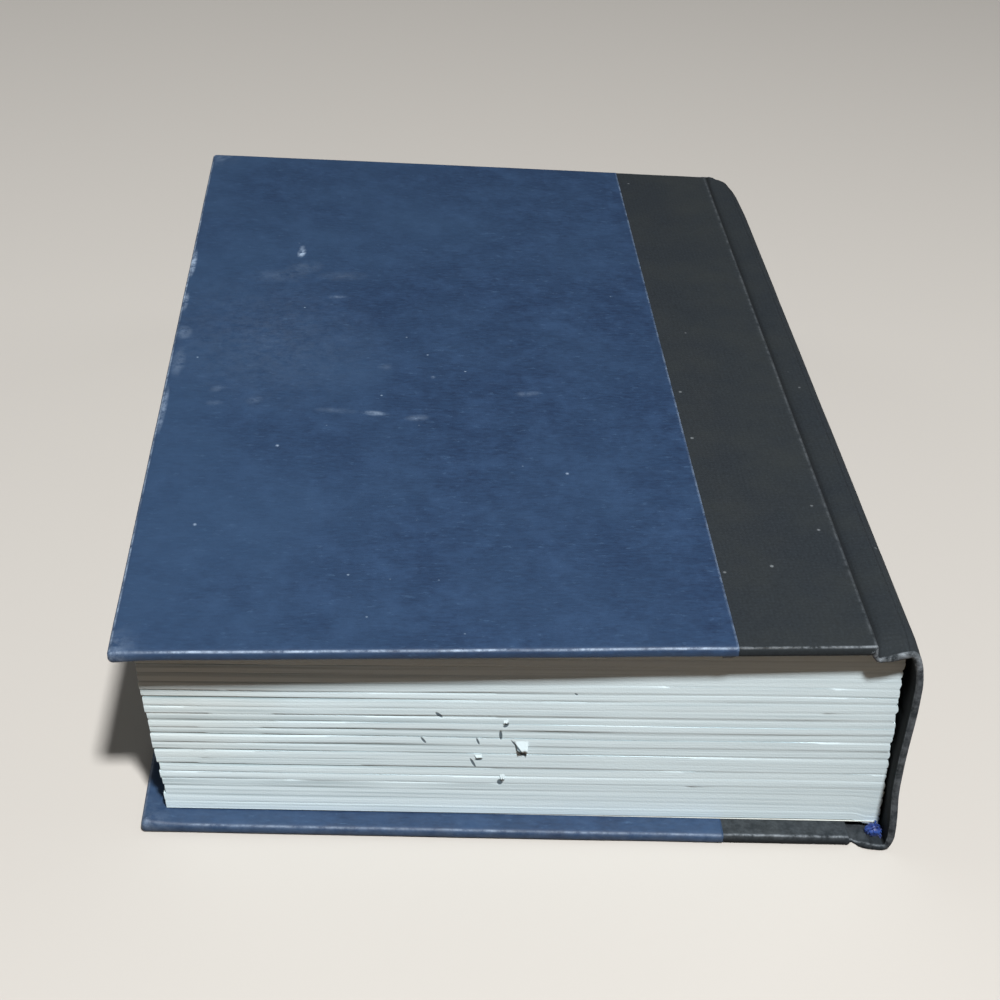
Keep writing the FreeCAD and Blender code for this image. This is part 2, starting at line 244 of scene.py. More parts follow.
# Slits where the tail face was knocked, painted dark with the shade inside them: (x, z, half
# length, half width, turn) on the face.
slit_shade = None
for x, z, length, width, turn in (
        (-17.4, 30.9, 1.2, 0.45, 42), (-20.3, 23.8, 1.2, 0.32, 55), (-8.8, 23.9, 1.15, 0.28, 68),
        (-3.2, 28.6, 0.9, 0.5, -50), (-4.1, 25.8, 1.5, 0.42, 84),
        (-0.5, 22.9, 2.4, 0.3, 50), (0.7, 21.0, 1.7, 0.65, 44), (-8.3, 18.8, 1.0, 0.42, -8),
        (-9.45, 17.7, 1.7, 0.34, 62), (-3.3, 12.3, 1.0, 0.75, 84), (10.7, 37.9, 0.5, 0.25, 30)):
    spot = node(tree, "Mapping", {
        "Vector": place, "Location": (x / 1000, -0.1158, z / 1000),
        "Rotation": (0, math.radians(turn), 0),
        "Scale": (length / 1000, 0.003, width / 1000)}, vector_type="TEXTURE")
    near = node(tree, "TexGradient", {"Vector": spot.outputs[0]}, gradient_type="SPHERICAL")
    slit_shade = node(tree, "Math", {0: near.outputs["Fac"], 1: slit_shade or 0.0},
                operation="MAXIMUM").outputs[0]
slit_shade = node(tree, "MapRange", {"Value": slit_shade, "From Min": 0.05, "From Max": 0.35}).outputs[0]
# Painted shade: the slits are drawn dark.
colour = node(tree, "Mix", {0: slit_shade, 6: colour.outputs[2], 7: linear("#65747D")},
              data_type="RGBA")
height = node(tree, "Math", {0: lines.outputs["Fac"], 1: fibres.outputs["Fac"]}, operation="ADD")
height = node(tree, "Math", {0: slit_shade, 1: -2.5, 2: height.outputs[0]}, operation="MULTIPLY_ADD")
bump = node(tree, "Bump", {"Height": height.outputs[0], "Strength": 0.35, "Distance": 0.00012})
dress(tree, shader, colour, bump)

text_block = add_piece("text_block_sections", bm, leaves, sharp=50)
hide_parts("text_block")
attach(text_block, "block")

# Torn leaf edges: small tongues of paper over the slits, held at the top and lifted at the lower
# end, so that they catch the light. They are part of the leaves: (x, z, width, height, lift).
bm = bmesh.new()
for torn_x, torn_z, wide, high, lift in (
        (-17.3, 31.3, 1.1, 0.7, 0.2), (-20.0, 24.2, 0.9, 0.7, 0.2), (-8.5, 24.4, 0.7, 0.7, 0.2),
        (-2.9, 28.9, 1.7, 1.7, 0.4), (-3.9, 27.0, 0.6, 0.7, 0.2), (1.0, 21.4, 3.6, 3.6, 0.9),
        (-8.4, 19.1, 2.3, 1.5, 0.4), (-9.6, 18.8, 0.8, 0.7, 0.2), (-2.9, 13.1, 1.5, 2.2, 0.45)):
    flap = bmesh.ops.create_grid(bm, x_segments=6, y_segments=6, size=0.5)["verts"]
    lean = rng.uniform(-0.25, 0.25)
    for vert in flap:
        side, up = vert.co.x, vert.co.y + 0.5
        torn_off = 1 + 0.5 * noise.noise(Vector((torn_x, side * 3, 1.0))) * (1 - up)
        vert.co = (torn_x + (side * (0.5 + 0.5 * up) - 0.22 * up + lean * (1 - up)) * wide,
                   0.25 - leaf_end - lift * torn_off * (1 - up) + 0.1 * side * side,
                   torn_z + high * (up * 1.05 - 0.05) + 0.12 * side)
settle(bm, block=True)
flaps = add_piece("torn_leaf_edges", bm, leaves, sharp=80)
flaps.modifiers.new("paper", "SOLIDIFY").thickness = 0.00014
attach(flaps, "block")

# Linings of the spine: open cotton gauze glued over the folds, and brown kraft paper over it.
# The gauze runs on under the endpapers onto both boards. The case hides them while it is whole.


def cut_across(bm, axis, where):
    """Divides the whole mesh at a place along an axis, so that it can bend there."""
    plane, normal = Vector(), Vector()
    plane[axis], normal[axis] = where, 1
    bmesh.ops.bisect_plane(bm, geom=bm.verts[:] + bm.edges[:] + bm.faces[:],
                           plane_co=plane, plane_no=normal, dist=0.0001)


def settled_copy(node_name, name, material, shrink=1.0, block=False, spacing=12.0):
    """A node's own solid as a mesh that takes on the book's twist, cut finely enough for it."""
    bm = bmesh.new()
    bm.from_mesh(nodes[node_name].data)
    bmesh.ops.scale(bm, vec=(1000, 1000 * shrink, 1000), verts=bm.verts)
    bmesh.ops.remove_doubles(bm, verts=bm.verts, dist=0.001)
    bmesh.ops.dissolve_limit(bm, angle_limit=0.01, verts=bm.verts, edges=bm.edges)
    for axis in (0, 1):
        low, high = (f(v.co[axis] for v in bm.verts) for f in (min, max))
        for i in range(1, int((high - low) / spacing)):
            cut_across(bm, axis, low + i * spacing)
    settle(bm, block)
    return add_piece(name, bm, material)


# Starched gauze (book mull): cream cotton threads with glue between them. They are about 1.2 mm
# apart, and drawn twice as coarse.
mull, tree, shader = new_material("starched_gauze", 0.9)
place = node(tree, "TexCoord").outputs["Object"]
warp, weft = (node(tree, "TexWave", {"Vector": place, "Scale": 130.0, "Distortion": 0.6,
                                     "Detail Scale": 3.0}, bands_direction=way) for way in "YZ")
threads = node(tree, "Math", {0: warp.outputs["Fac"], 1: weft.outputs["Fac"]},
               operation="MAXIMUM")
colour = node(tree, "Mix", {0: threads.outputs[0], 6: linear("#A99F86"), 7: linear("#DCD6C2")},
              data_type="RGBA")
bump = node(tree, "Bump", {"Height": threads.outputs[0], "Strength": 0.6, "Distance": 0.00015})
dress(tree, shader, colour, bump)
gauze = settled_copy("spine_mull", "spine_mull_gauze", mull, shrink=0.95, block=True)
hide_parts("spine_mull")
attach(gauze, "block")
flange = settled_copy("back_mull_flange", "back_mull_flange_gauze", mull)
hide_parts("back_mull_flange")
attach(flange, "back_cover")
nodes["front_mull_flange"].data.materials.clear()
nodes["front_mull_flange"].data.materials.append(mull)

# Kraft paper: brown, smooth on the machine side, with long fibres that run along the roll.
kraft, tree, shader = new_material("kraft_paper", 0.75)
place = node(tree, "TexCoord").outputs["Object"]
stretched = node(tree, "Mapping", {"Vector": place, "Scale": (900, 120, 900)})
fibres = node(tree, "TexNoise", {"Vector": stretched.outputs[0], "Scale": 1.0, "Detail": 4.0})
colour = node(tree, "Mix", {0: fibres.outputs["Fac"], 6: linear("#8A6C48"), 7: linear("#A98A60")},
              data_type="RGBA")
bump = node(tree, "Bump", {"Height": fibres.outputs["Fac"], "Strength": 0.3, "Distance": 0.0001})
dress(tree, shader, colour, bump)
lining = settled_copy("spine_lining", "spine_lining_kraft", kraft, shrink=0.97,
                      block=True)
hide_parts("spine_lining")
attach(lining, "block")

# Headbands: a roll of royal blue thread woven over a cord, sewn to a tape that is glued to the
# back of the sections. The one at the head is whole. The one at the tail has torn away, and only a
# frayed tuft of its thread is left at the foot of the spine.
spine_up = (spine_top - spine_foot).normalized()
spine_out = Vector((spine_up.y, -spine_up.x))


def on_spine(rise, out, y):
    """A point by its distance up the back of the block and out from it."""
    x, z = spine_foot + spine_up * rise + spine_out * out
    return Vector((x, y, z))


# Mercerised cotton thread: deep royal blue with a silky shine. Its shade changes at every second
# turn.
headband_thread, tree, shader = new_material("mercerised_cotton_thread", 0.5, Sheen_Weight=0.1)
place = node(tree, "TexCoord").outputs["Object"]
turns = node(tree, "TexWave", {"Vector": place, "Scale": 195.0, "Distortion": 0.8,
                               "Detail Scale": 4.0}, bands_direction="Z")
fuzz = node(tree, "TexNoise", {"Vector": place, "Scale": 3500.0, "Detail": 2.0})
mixed = node(tree, "Math", {0: turns.outputs["Fac"], 1: fuzz.outputs["Fac"]},
             operation="MULTIPLY")
colour = node(tree, "Mix", {0: mixed.outputs[0], 6: linear("#13296A"), 7: linear("#3862B8")},
              data_type="RGBA")
bump = node(tree, "Bump", {"Height": mixed.outputs[0], "Strength": 0.5, "Distance": 0.0002})
dress(tree, shader, colour, bump)

band_low, band_high, bead, thread_turn = 1.9, 44.5, 0.9, 0.8
tape_start, tape_long, tape_thick, glue = 105.5, 10.9, 0.25, 0.2
bm = bmesh.new()
bmesh.ops.create_cone(bm, cap_ends=True, segments=14, radius1=bead, radius2=bead, depth=1.0)
uprights = [e for e in bm.edges if abs(e.verts[0].co.z - e.verts[1].co.z) > 0.5]
bmesh.ops.subdivide_edges(bm, edges=uprights, cuts=230)
for vert in bm.verts:
    rise = band_low + (vert.co.z + 0.5) * (band_high - band_low)
    swell = 0.93 + 0.07 * math.cos(rise * 2 * math.pi / thread_turn)
    vert.co = on_spine(rise, glue - bead * 0.6 + vert.co.x * swell,
                       leaf_end + bead + glue + vert.co.y * swell)
tape = gridded_box((1, 12, 30))
for vert in tape.verts:
    vert.co = on_spine(band_low + vert.co.z * (band_high - band_low),
                       glue + tape_thick * vert.co.x, tape_start + tape_long * vert.co.y)
tape_mesh = bpy.data.meshes.new("tape")
tape.to_mesh(tape_mesh)
tape.free()
bm.from_mesh(tape_mesh)
bpy.data.meshes.remove(tape_mesh)
bmesh.ops.recalc_face_normals(bm, faces=bm.faces)
settle(bm, block=True)
headband = add_piece("head_headband_woven", bm, headband_thread, sharp=60)
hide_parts("head_headband")
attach(headband, "block")

# The tuft: a matted lump with loose thread ends that curl out of it, on the cloth's inner side.
tuft_centre, loose_ends = Vector((80.6, -117.4, 1.9)), 90
cloth_below, cloth_beside = 0.55, 82.9
bm = bmesh.new()
bmesh.ops.create_icosphere(bm, subdivisions=3, radius=1.0)
for vert in bm.verts:
    lumps = 1 + 0.3 * noise.noise(vert.co * 2.3)
    vert.co = tuft_centre + Vector((vert.co.x * 1.9, vert.co.y * 1.5, vert.co.z * 1.5)) * lumps
for _ in range(loose_ends):
    start = Vector([rng.gauss(0, 1) for _ in range(3)]).normalized()
    start.y = -abs(start.y) if rng.random() < 0.7 else start.y
    aim = (start + Vector([rng.uniform(-0.7, 0.7) for _ in range(3)])).normalized()
    turn = Vector([rng.uniform(-1, 1) for _ in range(3)])
    point = tuft_centre + Vector((start.x * 1.6, start.y * 1.3, start.z * 1.2))
    ring = bmesh.ops.create_circle(bm, segments=5, radius=0.15,
                                   matrix=Matrix.Translation(point)
                                   @ aim.to_track_quat("Z", "Y").to_matrix().to_4x4())["verts"]
    loop = list({e for v in ring for e in v.link_edges if all(w in ring for w in e.verts)})
    for _ in range(6):
        grown = bmesh.ops.extrude_edge_only(bm, edges=loop)["geom"]
        loop = [g for g in grown if isinstance(g, bmesh.types.BMEdge)]
        moved = [g for g in grown if isinstance(g, bmesh.types.BMVert)]
        aim = (aim + turn * 0.8).normalized()
        bmesh.ops.translate(bm, vec=aim * rng.uniform(0.12, 0.22), verts=moved)
for vert in bm.verts:
    vert.co.z = max(vert.co.z, cloth_below)
    vert.co.x = min(vert.co.x, cloth_beside)
bmesh.ops.holes_fill(bm, edges=[e for e in bm.edges if e.is_boundary], sides=6)
bmesh.ops.recalc_face_normals(bm, faces=bm.faces)
tuft = add_piece("tail_headband_threads", bm, headband_thread, sharp=70)
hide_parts("tail_headband_tuft")
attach(tuft, "block")

# Free endpapers: one leaf of strong uncoated paper on each face of the block, tipped on at the
# folds and trimmed a little short of the pages.
flyleaf_short, flyleaf_thick = 0.4, 0.15

# Endpaper: heavier than the pages, off-white, with soft cloudiness from its making.
endpaper, tree, shader = new_material("uncoated_endpaper", 0.85, Specular_IOR_Level=0.25)
place = node(tree, "TexCoord").outputs["Object"]
cloudy = node(tree, "TexNoise", {"Vector": place, "Scale": 60.0, "Detail": 5.0,
                                 "Roughness": 0.65})
fibres = node(tree, "TexNoise", {"Vector": place, "Scale": 1800.0, "Detail": 3.0})
colour = node(tree, "Mix", {0: cloudy.outputs["Fac"], 6: linear("#CCD0CA"),
                            7: linear("#DADFDA")}, data_type="RGBA")
bump = node(tree, "Bump", {"Height": fibres.outputs["Fac"], "Strength": 0.35,
                           "Distance": 0.00008})
dress(tree, shader, colour, bump)
for side, near, far, outward in (("front", fore_foot, spine_foot, -1),
                                 ("back", fore_top, spine_top, 1)):
    bm = gridded_box((26, 38, 1))
    for vert in bm.verts:
        x, z = near.lerp(far, 0.0025 + 0.995 * vert.co.x)
        lift = vert.co.z if outward > 0 else vert.co.z - 1
        vert.co = (x, (leaf_end - flyleaf_short) * (2 * vert.co.y - 1), z + flyleaf_thick * lift)
    settle(bm, block=True)
    flyleaf = add_piece(side + "_flyleaf_sheet", bm, endpaper)
    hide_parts(side + "_flyleaf")
    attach(flyleaf, "block")

# Boards: 2 mm grey pressed board made of waste paper, covered on all outer faces. Only their edge
# at the joint stays bare. The lower one lies flat and the upper one has the book's twist.
greyboard, tree, shader = new_material("grey_pressed_board", 0.88)
place = node(tree, "TexCoord").outputs["Object"]
layers = node(tree, "Mapping", {"Vector": place, "Scale": (300, 300, 2400)})
ply = node(tree, "TexNoise", {"Vector": layers.outputs[0], "Scale": 1.0, "Detail": 4.0})
flecks = node(tree, "TexVoronoi", {"Vector": place, "Scale": 900.0})
fleck_share = node(tree, "MapRange", {"Value": flecks.outputs["Distance"], "From Min": 0.08,
                                      "From Max": 0.2, "To Min": 0.4, "To Max": 0.0})
colour = node(tree, "Mix", {0: ply.outputs["Fac"], 6: linear("#716E67"), 7: linear("#918D84")},
              data_type="RGBA")
colour = node(tree, "Mix", {0: fleck_share.outputs[0], 6: colour.outputs[2],
                            7: linear("#4E4C49")}, data_type="RGBA")
bump = node(tree, "Bump", {"Height": ply.outputs["Fac"], "Strength": 0.5, "Distance": 0.0002})
dress(tree, shader, colour, bump)
nodes["front_board"].data.materials.clear()
nodes["front_board"].data.materials.append(greyboard)
upper_board = settled_copy("back_board", "back_board_settled", greyboard)
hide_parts("back_board")
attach(upper_board, "back_cover")

# Spine inlay: a strip of grey card, 0.8 mm, that stiffens the spine inside the cloth. Its tail end
# is a little hollowed, with a crease under the shoulder, as the cloth over it shows.
wall_out, wall_foot, wall_tall, wall_lean = 83.98, 2.9, 49.5, 3.0
card_thick, card_half, card_foot, card_tall, cloth_over = 0.8, 119.9, 5.1, 38.9, 0.27


def wall_line(z, y):
    """How far out the outside of the spine wall stands at a height, tail end pressed in."""
    out = wall_out - wall_lean * (z - wall_foot) / wall_tall
    press = smooth_share(z, 7.0, 17.0) * (1 - smooth_share(z, 22.0, 40.0))
    return out - 0.5 * press * (1 - smooth_share(y, -120.0, -40.0))


# Grey card: dense and even, fine-flecked.
spine_card, tree, shader = new_material("grey_card", 0.8)
place = node(tree, "TexCoord").outputs["Object"]
mottle = node(tree, "TexNoise", {"Vector": place, "Scale": 700.0, "Detail": 4.0})
colour = node(tree, "Mix", {0: mottle.outputs["Fac"], 6: linear("#6E6961"),
                            7: linear("#8A857B")}, data_type="RGBA")
bump = node(tree, "Bump", {"Height": mottle.outputs["Fac"], "Strength": 0.3, "Distance": 0.0001})
dress(tree, shader, colour, bump)
bm = gridded_box((1, 40, 26))
for vert in bm.verts:
    y, z = card_half * (2 * vert.co.y - 1), card_foot + card_tall * vert.co.z
    vert.co = (wall_line(z, y) - cloth_over - card_thick * (1 - vert.co.x), y, z)
settle(bm)
inlay = add_piece("spine_inlay_card", bm, spine_card)
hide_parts("spine_inlay")
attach(inlay, "block")

# Covering cloth: one piece of charcoal book cloth from one board over the spine to the other,
# turned in 15 mm at head and tail. It is made here in three parts.
half, turn_in, covering, board = cover_length / 2, 15.0, 0.25, 2.5
lower_left = -79.17
upper_row, upper_up = Vector((0.99953, 0.03073)), Vector((-0.03073, 0.99953))
upper_origin = Vector((-83.81, 47.81))


def on_cover(side, u, y, h):
    """A point by its distance from the cover's fore-edge, and its height over the inner face."""
    if side == "front":
        return Vector((u + lower_left, y, board - h))
    x, z = upper_origin + upper_row * u + upper_up * h
    return Vector((x, y, z))


def cloth_line(side, stations):
    """Cloth that follows a line of stations and is turned in at both ends. A station is (x, z,
    depth of the turn-in, depth at the rim, tail pull, head drop, rub and shade), in order with the
    outside on the left. A tail pull shortens the tail end, or on the upper joint lets it sag, and
    one below 0 lengthens it. A rub above 0 is pale wear, and one below 0 is painted shade, near
    black at -1, in the grooves and hollows."""
    # Round the end: how far in from it, and the share of the depth.
    rim = [(turn_in, 1), (12, 1), (9, 1), (6.5, 1), (4.5, 1), (3, 1), (1.6, 1), (0.7, 1),
           (0.3, 0.96), (0.02, 0.85), (-0.1, 0.7), (-0.14, 0.5), (-0.1, 0.3), (0.02, 0.15),
           (0.3, 0.04), (0.7, 0), (1.6, 0), (3, 0), (5.5, 0), (9, 0)]
    middle = [-107 + 214 * i / 42 for i in range(43)]
    profile = [(-1, e, d) for e, d in rim] + [(0, y, 0) for y in middle] \
        + [(1, e, d) for e, d in reversed(rim)]
    bm = bmesh.new()
    bmesh.ops.create_grid(bm, x_segments=len(stations) - 1, y_segments=len(profile) - 1, size=0.5)
    rub_and_shade_layer = bm.verts.layers.float.new("rub_and_shade")
    uv_layer = bm.loops.layers.uv.new("cloth")
    run = [0.0]
    for a, b in zip(stations, stations[1:]):
        run.append(run[-1] + math.hypot(b[0] - a[0], b[1] - a[1]))
    places = {}
    for vert in bm.verts:
        i = round((vert.co.x + 0.5) * (len(stations) - 1))
        j = round((vert.co.y + 0.5) * (len(profile) - 1))
        x, z, depth, rim_depth, tail_pull, head_drop, rub_and_shade = stations[i]
        before, after = stations[max(i - 1, 0)], stations[min(i + 1, len(stations) - 1)]
        tangent = Vector((after[0] - before[0], after[1] - before[1])).normalized()
        out = Vector((-tangent.y, tangent.x))
        end, inset, share = profile[j]
        upper = z > 45
        sags = upper and tail_pull > 0
        pull = (0.2 if sags else 1.0) * tail_pull if end < 0 else 0.6 * max(head_drop, 0.0)
        fray = 0.6 * noise.noise(Vector((run[i] * 0.9, end * 7.0, 3.0))) if pull > 0.2 else 0.0
        y = inset if end == 0 else end * (half - inset - (pull + fray) * smooth_share(
            inset, 9.0, 0.0))
        wall = depth + (rim_depth - depth) * (smooth_share(inset, 6.5, 3.0) if end else 0.0)
        press = wall_line(z, y) - wall_line(z, 0.0) if out.x > 0.5 else 0.0
        puff = 0.12 * (0.5 + 0.5 * noise.noise(Vector((x * 0.12, y * 0.09, z * 0.12))))
        shift = puff * (1 - share) - share * wall
        fall = head_drop * (0.4 * smooth_share(y, 92.0, 115.5)
                            + 0.6 * smooth_share(y, 112.0, 121.0))
        if sags:
            fall += 2.4 * tail_pull * smooth_share(-y, 115.3, 120.0)
        vert.co = (x + press + out.x * shift, y, z + out.y * shift - fall)
        at_rim = end != 0 and inset == 0.3
        if at_rim or (sags and inset < 0.4 and end < 0):
            rub_and_shade = 1.0 if upper or side == "front" else 0.8
        elif side == "front" and end < 0 and share > 0.5:
            rub_and_shade = 0.1
        # Painted shade: on the spine wall the turned-in cloth inside the hollow is drawn near
        # black; its tail rim is rubbed pale.
        elif out.x > 0.5:
            rub_and_shade = -1.0 if share == 1 else 0.4 if end < 0 and inset < 0.5 else rub_and_shade
        vert[rub_and_shade_layer] = rub_and_shade
        places[vert] = (run[i] * 0.001, (y + (0 if share < 0.5 else end * 2 * inset)) * 0.001)
    for face in bm.faces:
        for loop in face.loops:
            loop[uv_layer].uv = places[loop.vert]
    bm.normal_update()
    return bm


def grow_wall(piece, thick=covering):
    """The sheet's own thickness, put on its inner side and kept in the mesh."""
    wall = piece.modifiers.new("wall", "SOLIDIFY")
    wall.thickness, wall.offset = thick / 1000, -1
    bpy.context.view_layer.update()
    graph = bpy.context.evaluated_depsgraph_get()
    done = bpy.data.meshes.new_from_object(piece.evaluated_get(graph),
                                           preserve_all_data_layers=True, depsgraph=graph)
    piece.modifiers.clear()
    piece.data, old = done, piece.data
    done.name = old.name
    bpy.data.meshes.remove(old)


# Book cloth: plain woven cotton, dyed charcoal and filled with starch, so it is matt and fine
# grained. Its threads are 0.5 mm apart, drawn here 1 mm apart so that they show. Where it is
# rubbed the dye wears off and it goes pale. In the grooves and the hollow of the spine it is
# painted near black as shade.
book_cloth, tree, shader = new_material("starched_book_cloth", 0.85, Specular_IOR_Level=0.2)
place = node(tree, "UVMap", uv_map="cloth").outputs[0]
body_place = node(tree, "TexCoord").outputs["Object"]
warp, weft = (node(tree, "TexWave", {"Vector": place, "Scale": 310.0, "Distortion": 1.5,
                                     "Detail": 1.0, "Detail Scale": 2.0}, bands_direction=way)
              for way in "XY")
weave = node(tree, "Math", {0: warp.outputs["Fac"], 1: weft.outputs["Fac"]},
             operation="MULTIPLY")
weave = node(tree, "MapRange", {"Value": weave.outputs[0], "To Min": 0.8, "To Max": 1.0})
grain = node(tree, "TexNoise", {"Vector": body_place, "Scale": 1500.0, "Detail": 4.0,
                                "Roughness": 0.7})
cloudy = node(tree, "TexNoise", {"Vector": body_place, "Scale": 55.0, "Detail": 5.0,
                                 "Roughness": 0.6})
texture = node(tree, "Math", {0: weave.outputs[0], 1: grain.outputs["Fac"]},
               operation="MULTIPLY")
colour = node(tree, "Mix", {0: texture.outputs[0], 6: linear("#14181C"),
                            7: linear("#32393F")}, data_type="RGBA")
cloud_share = node(tree, "MapRange", {"Value": cloudy.outputs["Fac"], "From Min": 0.4,
                                      "From Max": 0.75, "To Max": 0.3})
colour = node(tree, "Mix", {0: cloud_share.outputs[0], 6: colour.outputs[2],
                            7: linear("#363935")}, data_type="RGBA")
rub_and_shade_fac = node(tree, "Attribute", attribute_name="rub_and_shade").outputs["Fac"]
patchy = node(tree, "TexNoise", {"Vector": body_place, "Scale": 420.0, "Detail": 5.0,
                                 "Roughness": 0.7})
patch_share = node(tree, "MapRange", {"Value": patchy.outputs["Fac"], "From Min": 0.38,
                                      "From Max": 0.62})
rub_share = node(tree, "Math", {0: rub_and_shade_fac, 1: patch_share.outputs[0]}, operation="MULTIPLY",
                 use_clamp=True)
# Painted shade: below 0 the attribute darkens the cloth to near black.
groove_and_hollow_shade = node(tree, "MapRange", {"Value": rub_and_shade_fac, "From Min": 0.0, "From Max": -1.0})
colour = node(tree, "Mix", {0: groove_and_hollow_shade.outputs[0], 6: colour.outputs[2], 7: linear("#0B0D0F")},
              data_type="RGBA")
colour = node(tree, "Mix", {0: rub_share.outputs[0], 6: colour.outputs[2],
                            7: linear("#868D93")}, data_type="RGBA")
specks = node(tree, "TexVoronoi", {"Vector": body_place, "Scale": 95.0})
speck_share = node(tree, "MapRange", {"Value": specks.outputs["Distance"], "From Min": 0.02,
                                      "From Max": 0.05, "To Min": 0.55, "To Max": 0.0})
colour = node(tree, "Mix", {0: speck_share.outputs[0], 6: colour.outputs[2],
                            7: linear("#8C9296")}, data_type="RGBA")
bump = node(tree, "Bump", {"Height": texture.outputs[0], "Strength": 0.4, "Distance": 0.0002})
dress(tree, shader, colour, bump)

# Upper cover: over the board, down into the groove beside it, and up to the ridge of the spine.
line = []
for u in (122.5, 124, 125.3, 128, 131, 134, 137, 140, 143, 146, 148.5, 150.5, 151.8, 152.5):
    tucked = 0.15 if u < 125 else 0.0
    line.append((u, 2.33 - tucked, 2.33 - 2 * tucked, 2.33 - 2 * tucked, 1.5 * tucked, tucked, 0))
# In the groove beside the board the last column goes below 0: painted shade in the groove. Just
# before it the board's edge is rubbed pale.
line += [(153.1, 2.38, 2.35, 2.35, 0, 0, 0.05), (153.4, 2.42, 2.37, 2.37, 0, 0, 0.22),
         (153.7, 2.38, 2.3, 2.3, 0, 0, 0.1), (153.95, 2.1, 2.0, 2.0, 0.1, -0.2, -0.1),
         (154.1, 1.6, 1.4, 1.5, 0.3, -0.7, -0.4), (154.25, 1.15, 0.9, 1.1, 0.5, -1.2, -0.7),
         (154.5, 0.85, 0.6, 0.9, 0.65, -1.5, -0.7), (154.85, 0.82, 0.6, 0.9, 0.75, -1.6, -0.5),
         (155.15, 1.0, 0.6, 1.0, 0.8, -1.5, -0.2), (155.6, 1.25, 0.6, 1.2, 0.8, -1.2, 0),
         (156.4, 1.48, 0.6, 1.3, 0.85, -0.8, 0), (157.4, 1.64, 0.6, 1.5, 0.8, -0.1, 0),
         (158.4, 1.76, 0.6, 1.6, 0.7, 0.2, 0), (159.4, 1.86, 0.6, 1.6, 0.6, 0.6, 0),
         (160.1, 1.9, 0.6, 1.6, 0.55, 0.9, 0), (160.7, 1.9, 0.6, 1.6, 0.5, 1.3, 0)]
stations = []
for u, h, *rest in line:
    point = on_cover("back", u, 0, h)
    stations.append((point.x, point.z, *rest))
ridge = stations[-1]
bm = cloth_line("back", stations)
settle(bm)
back_cloth = add_piece("back_quarter_cloth_strip", bm, book_cloth, sharp=70)
grow_wall(back_cloth)
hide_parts("back_quarter_cloth")
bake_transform(back_cloth)

# Spine: from the ridge over the shoulder, down the wall round the inlay, and under to the heel.
line = [ridge,
        (77.25, 54.6, 0.7, 1.6, 0.45, 1.8, 0), (77.75, 54.45, 0.8, 1.6, 0.4, 2.3, 0),
        (78.25, 54.1, 0.9, 1.6, 0.35, 2.7, 0), (78.7, 53.6, 1.0, 1.6, 0.3, 2.8, 0),
        (79.1, 53.0, 1.1, 1.6, 0.25, 2.7, 0), (79.45, 52.25, 1.2, 1.6, 0.2, 2.4, 0),
        (79.8, 51.4, 1.3, 1.6, 0.15, 2.0, 0), (80.15, 50.4, 1.4, 1.6, 0.1, 1.5, 0),
        (80.5, 49.3, 1.5, 1.6, 0.05, 1.1, 0), (80.8, 48.0, 1.5, 1.6, 0, 0.8, 0),
        (81.1, 46.6, 1.5, 1.6, 0, 0.6, 0), (81.35, 45.2, 1.5, 1.6, 0, 0.5, 0)]
for z in (44.0, 43.2, 42.6, 42.0, 41.4, 40.8, 40.2, 39.0, 37.0, 34.5, 32.0, 29.0, 26.0, 23.0,
          20.0, 17.0, 14.5, 12.0, 9.5, 7.0, 5.0, 3.8):
    line.append((wall_line(z, 0), z, 1.4, 1.6, -1.3 * (1 - smooth_share(z, 4.0, 16.0)),
                 max(0.0, (z - 30) / 25), 0.12 if z < 9 else 0))
line += [(83.85, 2.7, 1.4, 1.6, -1.3, 0, 0.3), (83.65, 1.8, 1.3, 1.5, -1.3, 0, 0.3),
         (83.3, 1.05, 1.1, 1.2, -1.3, 0, 0.3), (82.8, 0.5, 0.9, 1.2, -1.3, 0, 0.15),
         (82.1, 0.15, 0.7, 1.2, -1.3, 0, 0), (81.3, 0.02, 0.6, 1.2, -1.3, 0, 0),
         (80.4, 0.0, 0.6, 1.25, -1.2, 0, 0), (79.4, 0.0, 0.6, 1.3, -1.1, 0, 0)]
bm = cloth_line("spine", line)
settle(bm)
spine_cloth = add_piece("spine_cloth_wrap", bm, book_cloth, sharp=70)
grow_wall(spine_cloth)
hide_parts("spine_cloth")
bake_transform(spine_cloth)

# Lower cover: the same strip seen from below, with a hollow where the board ends and a puffed lip.
heel = line[-1]
# Across the hollow where the board ends the last column goes to -1: painted shade in the hollow.
line = [heel, (78.6, 0.0, 0.6, 1.5, -1.0, 0, 0), (77.8, 0.0, 0.6, 1.6, -0.8, 0, 0),
        (77.2, 0.02, 0.6, 1.4, -0.5, 0, 0), (76.7, 0.05, 0.6, 1.0, -0.2, 0, 0),
        (76.3, 0.1, 0.6, 0.6, 0.3, 0, -0.5), (75.9, 0.2, 0.5, 0.35, 0.7, 0, -1.0),
        (75.5, 0.3, 0.5, 0.35, 0.9, 0, -1.0), (75.15, 0.3, 0.7, 0.6, 0.8, 0, -0.8),
        (74.9, 0.2, 1.4, 1.2, 0.5, 0, -0.4), (74.65, 0.15, 2.1, 1.9, 0.2, 0, 0),
        (74.35, 0.1, 2.42, 2.3, 0, 0, 0.2), (73.6, 0.12, 2.38, 2.38, 0, 0, 0)]
line += [(x, 0.15, 2.33, 2.33, 0, 0, 0) for x in (72.5, 71, 69, 66, 63, 60, 57, 54, 51, 48.5,
                                                   46.5)]
line += [(x, 0.3, 2.03, 2.03, 0.22, 0.15, 0) for x in (44.8, 43.3)]
bm = cloth_line("front", line)
front_cloth = add_piece("front_quarter_cloth_strip", bm, book_cloth, sharp=70)
grow_wall(front_cloth)
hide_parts("front_quarter_cloth")
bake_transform(front_cloth)

# Side papers: navy blue fibrous covering paper over the fore-edge part of each board. It laps the
# cloth at a straight cut seam and is turned in 15 mm on three sides, mitred at the corners. The
# lower cover's rim line is softer, and it is a little paler on its edge face and inner margin.
seam, corner_radius, edge_radius, mid = 125.5, 0.9, 0.8, board / 2
